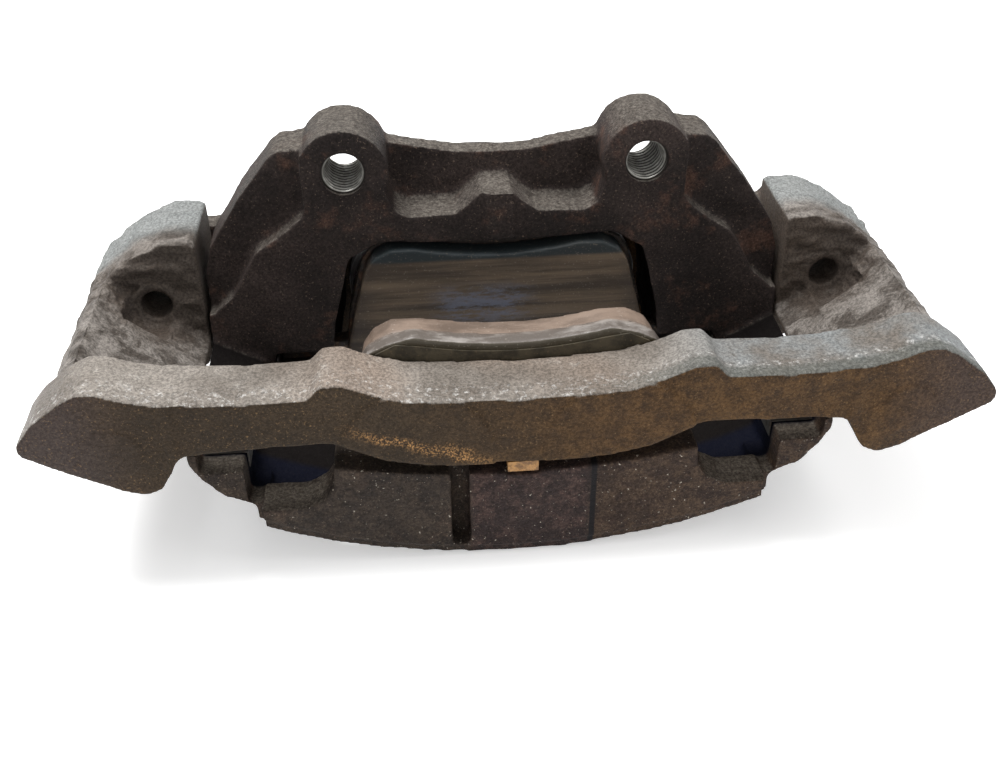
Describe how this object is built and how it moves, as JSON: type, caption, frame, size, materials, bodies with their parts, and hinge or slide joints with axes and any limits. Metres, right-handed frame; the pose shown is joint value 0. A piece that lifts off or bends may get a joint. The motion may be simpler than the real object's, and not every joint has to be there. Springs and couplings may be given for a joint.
{
  "type": "brake caliper",
  "caption": "Floating brake caliper: a carrier that straddles the disc, brake pads, and a sliding frame whose clamp bar pulls the outer pad as the pistons push the inner one.",
  "frame": {"origin": "midway between the two threaded ears, on their inboard mounting face", "axes": "+X along the caliper, +Y inboard towards the knuckle and parallel to the wheel axis, +Z towards the wheel hub"},
  "size_m": [0.2894, 0.1815, 0.1177],
  "materials": {
    "cast_iron_carrier": "rusty rough casting",
    "cast_iron_housing": "rusty rough casting with dust",
    "zinc_steel": "plated, dull",
    "spring_steel": "stainless spring strip",
    "piston_steel": "ground and plated",
    "pad_steel": "black paint worn to rust",
    "friction": "worn friction compound",
    "shim_steel": "rusty thin sheet",
    "rubber": "matt"
  },
  "bodies": {
    "carrier": {"carrier": "cast_iron_carrier", "guide_pin_left": "zinc_steel", "guide_pin_right": "zinc_steel", "guide_pin_bolt_left": "zinc_steel", "guide_pin_bolt_right": "zinc_steel", "guide_pin_boot_left": "rubber", "guide_pin_boot_right": "rubber", "pad_clip_inner_left": "spring_steel", "pad_clip_inner_right": "spring_steel", "pad_clip_outer_left": "spring_steel", "pad_clip_outer_right": "spring_steel"},
    "housing": {"housing": "cast_iron_housing", "guide_bush_left": "zinc_steel", "guide_bush_right": "zinc_steel", "piston_seal_left": "rubber", "piston_seal_right": "rubber", "dust_boot_left": "rubber", "dust_boot_right": "rubber"},
    "bleeder": {"bleeder_screw": "zinc_steel", "bleeder_cap": "rubber"},
    "piston_left": {"piston_left": "piston_steel"},
    "piston_right": {"piston_right": "piston_steel"},
    "inner_pad": {"inner_pad_plate": "pad_steel", "inner_pad_friction": "friction", "inner_pad_shim": "shim_steel"},
    "outer_pad": {"outer_pad_plate": "pad_steel", "outer_pad_friction": "friction", "outer_pad_shim": "shim_steel"}
  },
  "joints": [
    {"name": "frame_slide", "type": "slide", "parent": "carrier", "child": "housing", "axis": [0, 1, 0], "range_m": [0, 0.007], "deforming": ["guide_pin_boot_left", "guide_pin_boot_right"]},
    {"name": "inner_pad_slide", "type": "slide", "parent": "carrier", "child": "inner_pad", "axis": [0, -1, 0], "range_m": [0, 0.007]},
    {"name": "outer_pad_slide", "type": "slide", "parent": "carrier", "child": "outer_pad", "axis": [0, 1, 0], "range_m": [0, 0.007]},
    {"name": "piston_left_slide", "type": "slide", "parent": "housing", "child": "piston_left", "axis": [0, -1, 0], "range_m": [0, 0.014], "deforming": ["dust_boot_left"]},
    {"name": "piston_right_slide", "type": "slide", "parent": "housing", "child": "piston_right", "axis": [0, -1, 0], "range_m": [0, 0.014], "deforming": ["dust_boot_right"]},
    {"name": "bleeder_turn", "type": "hinge", "parent": "housing", "child": "bleeder", "pos_m": [0.044, 0.06, -0.058], "axis": [0, 1, 0], "range_deg": [0, 180]}
  ],
  "couplings": [
    {"joint": "inner_pad_slide", "follows": "frame_slide", "ratio": 1},
    {"joint": "outer_pad_slide", "follows": "frame_slide", "ratio": 1},
    {"joint": "piston_left_slide", "follows": "frame_slide", "ratio": 2},
    {"joint": "piston_right_slide", "follows": "frame_slide", "ratio": 2}
  ]
}
